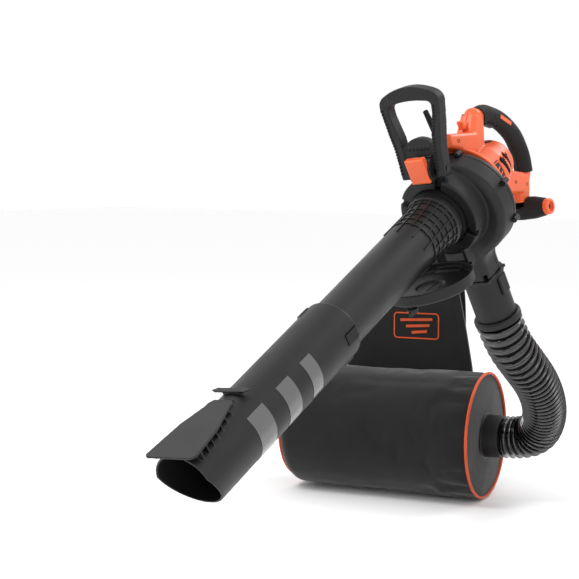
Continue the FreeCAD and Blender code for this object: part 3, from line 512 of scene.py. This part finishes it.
def settle_cloth(bag, frames=16, slack=-0.03, pressure=1.2, cap_mm=5.0):
    """Cloth simulation of the slack skin between its sewn rims, kept in the mesh.

    The cloth is cut a little larger than the form, filled with a low pressure and held at both
    piped seams, so it wrinkles from them.  No point may move further than the cap.
    """
    mesh = bag.data
    start = [vertex.co.copy() for vertex in mesh.vertices]
    back = BAG.inverted()
    held = bag.vertex_groups.new(name="sewn_seams")
    for vertex in mesh.vertices:
        x = (back @ vertex.co).x / MM
        if x > -SEAM_MM or x < -BAG_LENGTH_MM + SEAM_MM:
            held.add([vertex.index], 1.0, "REPLACE")
    cloth = bag.modifiers.new("cloth", "CLOTH")
    settings = cloth.settings
    settings.quality = 6
    settings.mass = 0.25
    settings.tension_stiffness = 12
    settings.compression_stiffness = 12
    settings.shear_stiffness = 4
    settings.bending_stiffness = 0.35
    settings.use_pressure = True
    settings.uniform_pressure_force = pressure
    settings.vertex_group_mass = held.name
    settings.shrink_min = slack
    settings.effector_weights.gravity = 0
    cloth.collision_settings.use_collision = False
    cloth.point_cache.frame_start = 1
    cloth.point_cache.frame_end = frames
    scene = bpy.context.scene
    for moment in range(1, frames + 1):
        scene.frame_set(moment)
    view = bpy.context.evaluated_depsgraph_get()
    moved = [vertex.co.copy() for vertex in bag.evaluated_get(view).data.vertices]
    bag.modifiers.clear()
    bag.vertex_groups.clear()
    scene.frame_set(1)
    floor = (BAG @ Vector((0, 0, BAG_FLAT_MM * MM))).z
    for vertex, first, last in zip(mesh.vertices, start, moved):
        shift = last - first
        if shift.length > cap_mm * MM:
            shift = shift.normalized() * cap_mm * MM
        vertex.co = first + shift
        vertex.co.z = max(vertex.co.z, floor)
    mesh.update()


def ring_cord(name, centre, axis_radius, radius, replaces=()):
    """A round cord bent into a ring about the bag's axis, pressed flat where the bag stands."""
    columns = 160
    section = 14
    verts = []
    for j in range(columns):
        angle = 2 * math.pi * j / columns
        for k in range(section):
            turn = 2 * math.pi * k / section
            reach = axis_radius + radius * math.cos(turn)
            reach += 0.25 * math.sin(angle * 90)
            z = max(reach * math.sin(angle), BAG_FLAT_MM)
            verts.append((centre + radius * math.sin(turn), reach * math.cos(angle), z))
    faces = grid_faces(columns, section, close_rows=True)
    add_piece(name, verts, faces, BAG, "head", PIPING, True, replaces)


def make_piping():
    ring_cord("bag_piping_front", 2.0, 145.5, 3.4, ("bag_piping",))
    ring_cord("bag_piping_back", -472.0, 128.5, 3.2)


def make_zip():
    """The emptying zip under the bag: tape, two rows of teeth and a pull."""
    pile = Pile()
    lift = math.radians(-62)
    out = Vector((0, math.cos(lift), math.sin(lift)))
    brick_turn = Matrix.Rotation(lift + math.pi / 2, 4, "X")
    pile.brick((-235, 0, 0), (306, 26, 1.2))
    for i in range(122):
        pile.brick((-385 + i * 2.5, 1.2 if i % 2 else -1.2, 1.2), (1.5, 3.2, 1.6))
    pile.brick((-92, 0, 2.2), (12, 9, 3))
    pile.brick((-106, 0, 2.6), (20, 5, 1.4))
    place = BAG @ Matrix.Translation(out * (BAG_RADIUS_MM + 0.2) * MM) @ brick_turn
    pile.piece("bag_zip_chain", place, "head", "webbing", WEBBING, ("bag_zip",), False)


# ---- carrier ---------------------------------------------------------------------------------

PANEL_MIDDLE_MM = -252
PANEL_FACE_MM = 152
PANEL_THICK_MM = 14
PANEL_LOW_MM = -36
PANEL_TOP_MM = 420


def panel_half_width(z):
    """Half the panel's width at a height above the bag's axis."""
    if z < 130:
        return 165.0
    if z > PANEL_TOP_MM - 30:
        rise = (z - PANEL_TOP_MM + 30) / 30
        return 113 - 30 * (1 - math.sqrt(max(0.0, 1 - rise**2)))
    ease = (z - 130) / 260
    return 165 - 52 * (ease * 0.82 + 0.18 * ease**2)


def make_panel():
    """The padded back panel: a crowned quilt with a bound edge and a shallow stitched border."""
    rows = 70
    columns = 60
    verts = []
    low = PANEL_LOW_MM
    top = PANEL_TOP_MM
    for face in (0, 1):
        for i in range(rows):
            z = low + (top - low) * i / (rows - 1)
            half = panel_half_width(z)
            for j in range(columns):
                across = -1 + 2 * j / (columns - 1)
                edge = min(1 - abs(across), min(z - low, top - z) / 120)
                swell = 1 - math.exp(-max(edge, 0) / 0.06)
                stitch = 1.6 * math.exp(-((edge - 0.13) / 0.018) ** 2)
                lump = 0.8 * noise.noise(Vector((across * 2, z * 0.014, face * 5)))
                thick = PANEL_THICK_MM / 2 * (0.35 + 0.65 * swell) - stitch + lump
                bow = 5 * (1 - across**2)
                y = PANEL_FACE_MM + PANEL_THICK_MM / 2 + (thick if face else -thick) - 0.2 * bow
                inside = BAG_RADIUS_MM + 2.5
                if z < inside:
                    y = max(y, math.sqrt(max(inside**2 - z**2, 0.0)))
                verts.append((PANEL_MIDDLE_MM + half * across, y + (2.5 if face else 0), z))
    sheet = rows * columns
    faces = grid_faces(rows, columns, close_columns=False)
    faces += [tuple(sheet + i for i in reversed(face)) for face in faces]
    border = list(range(columns))
    border += [i * columns + columns - 1 for i in range(1, rows)]
    border += [(rows - 1) * columns + j for j in range(columns - 2, -1, -1)]
    border += [i * columns for i in range(rows - 2, 0, -1)]
    for a, b in zip(border, border[1:] + border[:1]):
        faces.append((a, b, sheet + b, sheet + a))
    panel = add_piece("back_panel_quilt", verts, faces, BAG, "head", PANEL_CLOTH, True,
                      ("back_panel",))


def make_badge_print():
    """Three slanted orange bars in a plain frame on the panel, a sign for moving air."""
    verts = []
    faces = []
    middle = PANEL_MIDDLE_MM + 22
    height = 232

    def ribbon(points, half):
        """A flat band along points on the panel, given from the sign's middle."""
        for (x0, z0), (x1, z1) in zip(points, points[1:]):
            run = math.hypot(x1 - x0, z1 - z0)
            steps = max(1, int(run / 6))
            nx, nz = -(z1 - z0) / run * half, (x1 - x0) / run * half
            start = len(verts)
            for k in range(steps + 1):
                x = x0 + (x1 - x0) * k / steps
                z = z0 + (z1 - z0) * k / steps
                for sx, sz in ((-nx, -nz), (nx, nz)):
                    across = (middle + x + sx - PANEL_MIDDLE_MM) / panel_half_width(height + z + sz)
                    verts.append((middle + x + sx, panel_front(across, height + z + sz) - 0.8,
                                  height + z + sz))
            for k in range(steps):
                a = start + 2 * k
                faces.append((a, a + 1, a + 3, a + 2))

    wide, tall, corner = 58, 31, 8
    outline = []
    for cx, cz, first in ((wide - corner, tall - corner, 0), (corner - wide, tall - corner, 90),
                          (corner - wide, corner - tall, 180), (wide - corner, corner - tall, 270)):
        for k in range(7):
            turn = math.radians(first + 15 * k)
            outline.append((cx + corner * math.cos(turn), cz + corner * math.sin(turn)))
    ribbon(outline + outline[:1], 1.7)
    for i, (length, shift) in enumerate(((84, 0), (62, 4), (40, 8))):
        rise = 15 - 15 * i
        ribbon([(-length / 2 + shift, rise - 2), (length / 2 + shift, rise + 2)], 3.4)
    add_piece("panel_print", verts, faces, BAG, "head", PRINT)


def panel_front(across, z):
    """The panel's front surface, towards the bag."""
    edge = min(1 - abs(across), (PANEL_TOP_MM - z) / 120)
    swell = 1 - math.exp(-max(edge, 0) / 0.06)
    thick = PANEL_THICK_MM / 2 * (0.35 + 0.65 * swell) + 0.8
    return PANEL_FACE_MM + PANEL_THICK_MM / 2 - thick - (1 - across**2)


def make_straps():
    """Two padded shoulder straps with stitched edges, narrowing to webbing at their lower ends."""
    spine = [Vector((0, back, up)) for back, up in (
        (168, 388), (196, 392), (222, 374), (248, 330), (262, 270), (264, 200), (252, 138),
        (232, 90), (208, 52), (184, 22), (170, 2))]
    for _ in range(3):
        finer = [spine[0]]
        for a, b in zip(spine, spine[1:]):
            finer += [a * 0.75 + b * 0.25, a * 0.25 + b * 0.75]
        spine = finer + [spine[-1]]
    section = 28
    for side, word in ((-1, "left"), (1, "right")):
        middle = PANEL_MIDDLE_MM + side * 84
        verts = []
        for i, spot in enumerate(spine):
            before = spine[max(i - 1, 0)]
            after = spine[min(i + 1, len(spine) - 1)]
            normal = Vector((1, 0, 0)).cross(after - before).normalized()
            part = i / (len(spine) - 1)
            wide = 28 if part < 0.72 else 28 - 15 * min(1, (part - 0.72) / 0.06)
            thick = 4.6 if part < 0.72 else 4.6 - 3.2 * min(1, (part - 0.72) / 0.06)
            for k in range(section):
                turn = 2 * math.pi * k / section
                x = math.copysign(abs(math.cos(turn)) ** 0.55, math.cos(turn))
                y = math.copysign(abs(math.sin(turn)) ** 0.8, math.sin(turn))
                seam = 0.25 * math.exp(-((abs(x) - 0.84) / 0.05) ** 2)
                lump = 0.12 * noise.noise(Vector((x * 2, part * 22, side * 3)))
                verts.append(Vector((middle + wide * x, 0, 0)) + Vector((0, spot.y, spot.z))
                             + normal * thick * y * (1 - seam + lump))
        faces = grid_faces(len(spine), section)
        faces.append(tuple(range(section)))
        faces.append(tuple(range(len(verts) - section, len(verts))))
        replaced = ("shoulder_straps",) if side < 0 else ()
        strap = add_piece(f"shoulder_strap_{word}", verts, faces, BAG, "head", WEBBING, True,
                          replaced)


# ---- moulded copies of CAD nodes -------------------------------------------------------------

def moulded(name, voxel_mm, passes):
    """A copy of a CAD node whose edges are rounded as a mould leaves them, shown in its place."""
    piece = link(name + "_moulded", NODES[name].data.copy())
    remesh = piece.modifiers.new("even_mesh", "REMESH")
    remesh.mode = "VOXEL"
    remesh.voxel_size = voxel_mm * MM
    relax = piece.modifiers.new("rounded", "SMOOTH")
    relax.factor = 0.5
    relax.iterations = passes
    bpy.context.view_layer.update()
    shaped = bpy.data.meshes.new_from_object(piece.evaluated_get(bpy.context.evaluated_depsgraph_get()))
    piece.modifiers.clear()
    piece.data = shaped
    slot = SLOT_OF[name]
    dress(piece, BODY_OF[name], SLOT_MATERIAL[slot], False, (name,))
    shaped.polygons.foreach_set("use_smooth", [True] * len(shaped.polygons))


def make_moulded_parts():
    for name, voxel, passes in (
        ("housing_left", 1.3, 5), ("housing_right", 1.3, 5), ("volute_front", 1.5, 3),
        ("volute_rear", 1.5, 3), ("bail_handle", 1.4, 7), ("rubber_grip_left", 1.2, 3),
        ("rubber_grip_right", 1.2, 3), ("inlet_door", 1.4, 3), ("aux_handle_grip", 1.3, 4),
        ("bail_lock_button", 0.8, 3), ("trigger", 0.8, 2), ("door_latch_knob", 0.9, 3),
        ("cord_hook", 0.9, 3), ("lower_tube", 1.2, 2), ("tube_latch_button", 0.6, 2),
        ("outlet_latch", 0.8, 2), ("bag_collar", 1.2, 2), ("outlet_adapter", 1.2, 2),
        ("hose_cuff", 1.0, 2), ("aux_handle_caps", 0.8, 2), ("cord_guard", 0.7, 1),
    ):
        moulded(name, voxel, passes)


# ---- small moulded details -------------------------------------------------------------------

class Pile:
    """Vertices and faces collected from many small bricks and bars, in millimetres."""

    def __init__(self):
        self.verts = []
        self.faces = []

    def hull(self, corners):
        """Eight corners: four of one end in order round it, then the same four of the other end."""
        start = len(self.verts)
        self.verts.extend(Vector(corner) for corner in corners)
        self.faces.extend([tuple(start + i for i in quad) for quad in (
            (0, 1, 2, 3), (7, 6, 5, 4), (0, 4, 5, 1), (1, 5, 6, 2), (2, 6, 7, 3), (3, 7, 4, 0))])

    def brick(self, centre, size, turn=None):
        turn = turn or Matrix.Identity(3)
        half = Vector(size) / 2
        corners = [Vector(centre) + turn @ Vector((sx * half.x, sy * half.y, sz * half.z))
                   for sz in (-1, 1) for sx, sy in ((-1, -1), (1, -1), (1, 1), (-1, 1))]
        self.hull(corners)

    def disc(self, centre, axis, radius, deep, sides=20, dip=0.0):
        """A short round post, with a shallow dished face if dip is given."""
        axis = Vector(axis).normalized()
        side = axis.orthogonal().normalized()
        up = axis.cross(side)
        start = len(self.verts)
        rings = ((0, 1.0), (deep * 0.8, 1.0), (deep, 0.88), (deep - dip, 0.55), (deep - dip, 0.0))
        for along, share in rings:
            count = sides if share else 1
            for k in range(count):
                turn = 2 * math.pi * k / sides
                self.verts.append(Vector(centre) + axis * along
                                  + (side * math.cos(turn) + up * math.sin(turn)) * radius * share)
        for i in range(3):
            for k in range(sides):
                a = start + i * sides + k
                b = start + i * sides + (k + 1) % sides
                self.faces.append((a, b, b + sides, a + sides))
        for k in range(sides):
            self.faces.append((start + 3 * sides + k, start + 3 * sides + (k + 1) % sides,
                               start + 4 * sides))
        self.faces.append(tuple(start + k for k in range(sides)))

    def piece(self, name, place, body, slot, material, replaces=(), smooth=True):
        add_piece(name, self.verts, self.faces, place, body, material, smooth, replaces)


def on_tube(radius, forward, degrees):
    """A point on a cylinder about the fan's axis, the angle from the right side upwards."""
    turn = math.radians(degrees)
    return Vector((radius * math.cos(turn), -forward, radius * math.sin(turn)))


def make_tube_lattice():
    """The raised lattice on the upper tube's root: part rings crossed by lengthwise ribs."""
    pile = Pile()
    low, high = -62, 128
    step = 6

    def strip(first, last, wide, height):
        """A raised strip along the tube between two (forward, degrees) points."""
        steps = 10
        points = [(first[0] + (last[0] - first[0]) * k / steps,
                   first[1] + (last[1] - first[1]) * k / steps) for k in range(steps + 1)]
        for (f0, a0), (f1, a1) in zip(points, points[1:]):
            pile.hull(strip_corners(f0, a0, wide, height) + strip_corners(f1, a1, wide, height))

    def strip_corners(forward, degrees, wide, height):
        half = math.degrees(wide / 2 / 52)
        base = root_radius(forward)
        return [on_tube(base - 1.5, forward, degrees - half), on_tube(base + height, forward, degrees - half),
                on_tube(base + height, forward, degrees + half), on_tube(base - 1.5, forward, degrees + half)]

    for degrees in range(low, high + 1, 19):
        strip((118, degrees), (208 if (degrees - low) % 38 else 236, degrees - 6), 2.2, 2.4)
    for forward in (132, 150, 168, 186, 204):
        for degrees in range(low, high, step):
            ring_piece(pile, forward, degrees, degrees + step, 2.4)
    pile.piece("upper_tube_lattice", HEAD, "head", "black_tube", TUBE)


def root_radius(forward):
    """The upper tube's outer radius, from its flared root to its plain length."""
    if forward > 150:
        return 51.0
    return 51.0 + 4.0 * (150 - forward) / 28


def ring_piece(pile, forward, first, last, height):
    base = root_radius(forward)
    ends = []
    for degrees in (first, last):
        for across, lift in ((-1.1, -1.5), (-1.1, height), (1.1, height), (1.1, -1.5)):
            ends.append(on_tube(base + lift, forward + across, degrees))
    pile.hull(ends)


def make_vents():
    """Slatted grilles in the housing's two sides."""
    pile = Pile()
    for side in (-1, 1):
        lean = Matrix.Rotation(math.radians(side * 4), 3, "Y") @ Matrix.Rotation(math.radians(18), 3, "X")
        for middle, turn in ((Vector((side * 60.5, 102, 6)), 0), (Vector((side * 53, 126, 6)), side * 19)):
            spin = Matrix.Rotation(math.radians(turn), 3, "Z") @ lean
            pile.brick(middle + spin @ Vector((-side * 3.2, 0, 0)), (1, 10.4, 42), spin)
            for i in range(5):
                pile.brick(middle + spin @ Vector((-side * 2.2, 0, -14 + 7 * i)), (1.6, 10.4, 1.4), spin)
    pile.piece("side_grilles", HEAD, "head", "black_case", VENT, ("side_vents",))


def make_buckles():
    """Ladder buckles on the strap ends, each with a webbing tail hanging from it."""
    frame_pile = Pile()
    tails = Pile()
    for side in (-1, 1):
        middle = PANEL_MIDDLE_MM + side * 84
        lean = Matrix.Rotation(math.radians(-40), 3, "X")
        centre = Vector((middle, 214, 52))
        for dx in (-20, 20):
            frame_pile.brick(centre + lean @ Vector((dx, 0, 0)), (5, 5, 34), lean)
        for dz in (-15, -5, 5, 15):
            frame_pile.brick(centre + lean @ Vector((0, 0, dz)), (40, 4.4, 3.4), lean)
        for k in range(9):
            a = Vector((middle, 216 - 1.5 * k, 40 - 15 * k))
            b = Vector((middle, 216 - 1.5 * (k + 1) + (1.2 if k % 2 else -1.2), 40 - 15 * (k + 1)))
            tails.hull([end + Vector((x, y, 0)) for end in (a, b) for x, y in (
                (-12.5, -0.8), (12.5, -0.8), (12.5, 0.8), (-12.5, 0.8))])
    frame_pile.piece("strap_ladder_buckles", BAG, "head", "black_case", BLACK, ("strap_buckles",))
    tails.piece("strap_tails", BAG, "head", "webbing", WEBBING)


BAIL_LEAN = 14
BAIL_PIVOT = Vector((0, -78, 98))


def make_bail_studs():
    """Rows of small studs on the bail's front, along the right arm's inner edge and the left one's rim."""
    pile = Pile()
    lean = Matrix.Rotation(math.radians(-BAIL_LEAN), 3, "X")
    rows = (
        ((54.5, 124), (53.5, 112), (46.5, 86), (41.5, 68), (38, 20), (36, -8)),
        ((-65, 126), (-60, 100), (-57, 80), (-51, 50), (-48, 20), (-47, -8)),
    )
    for row in rows:
        for (x0, s0), (x1, s1) in zip(row, row[1:]):
            run = math.hypot(x1 - x0, s1 - s0)
            count = max(1, round(run / 6.5))
            for k in range(count):
                x = x0 + (x1 - x0) * k / count
                up = s0 + (s1 - s0) * k / count
                pile.brick(BAIL_PIVOT + lean @ Vector((x, -13.3, up)), (4.6, 2.2, 3.6), lean)
    pile.piece("bail_studs", HEAD, "bail", "black_case", VENT)


BADGE_RADIUS_MM = 62.9


def make_badges():
    """A plain raised frame on each badge plate, with three short bars inside."""
    pile = Pile()
    for side in (-1, 1):
        def spot(y, z, lift):
            radius = BADGE_RADIUS_MM + lift
            return Vector((side * math.sqrt(radius**2 - z**2), y, z))

        def bar(y0, z0, y1, z1, half):
            along = Vector((0, y1 - y0, z1 - z0)).normalized()
            wide = Vector((0, -along.z, along.y)) * half
            steps = 6
            ends = []
            for k in range(steps + 1):
                y = y0 + (y1 - y0) * k / steps
                z = z0 + (z1 - z0) * k / steps
                ends.append([spot(y + wide.y * a, z + wide.z * a, lift)
                             for a, lift in ((-1, -0.4), (1, -0.4), (1, 0.6), (-1, 0.6))])
            for first, last in zip(ends, ends[1:]):
                pile.hull(first + last)

        bar(61, -18, 61, 28, 0.7)
        bar(81, -18, 81, 28, 0.7)
        bar(61, -18, 81, -18, 0.7)
        bar(61, 28, 81, 28, 0.7)
        for i in range(3):
            bar(65, -8 + 11 * i, 77, -4 + 11 * i, 1.4)
    pile.piece("badge_frames", HEAD, "head", "piping_orange", ORANGE)


def make_screws():
    """Dished screw heads down the housing's right side."""
    pile = Pile()
    for back, up, reach in (
        (24, 107, 23.8), (60, 60, 24.4), (186, 82, 19), (243, 16, 19), (251, -34, 19),
        (172, -66, 19.6), (212, -92, 17),
    ):
        pile.disc((reach - 2, back, up), (1, 0, 0), 3.8, 3.2, dip=1.8)
    pile.piece("housing_screw_heads", HEAD, "head", "screw_black", DARK_STEEL, ("housing_screws",))


set_camera()
set_stage()
dress_cad_nodes()
make_hose()
make_bag()
make_piping()
make_zip()
make_panel()
make_badge_print()
make_straps()
make_moulded_parts()
make_tube_lattice()
make_vents()
make_buckles()
make_bail_studs()
make_badges()
make_screws()
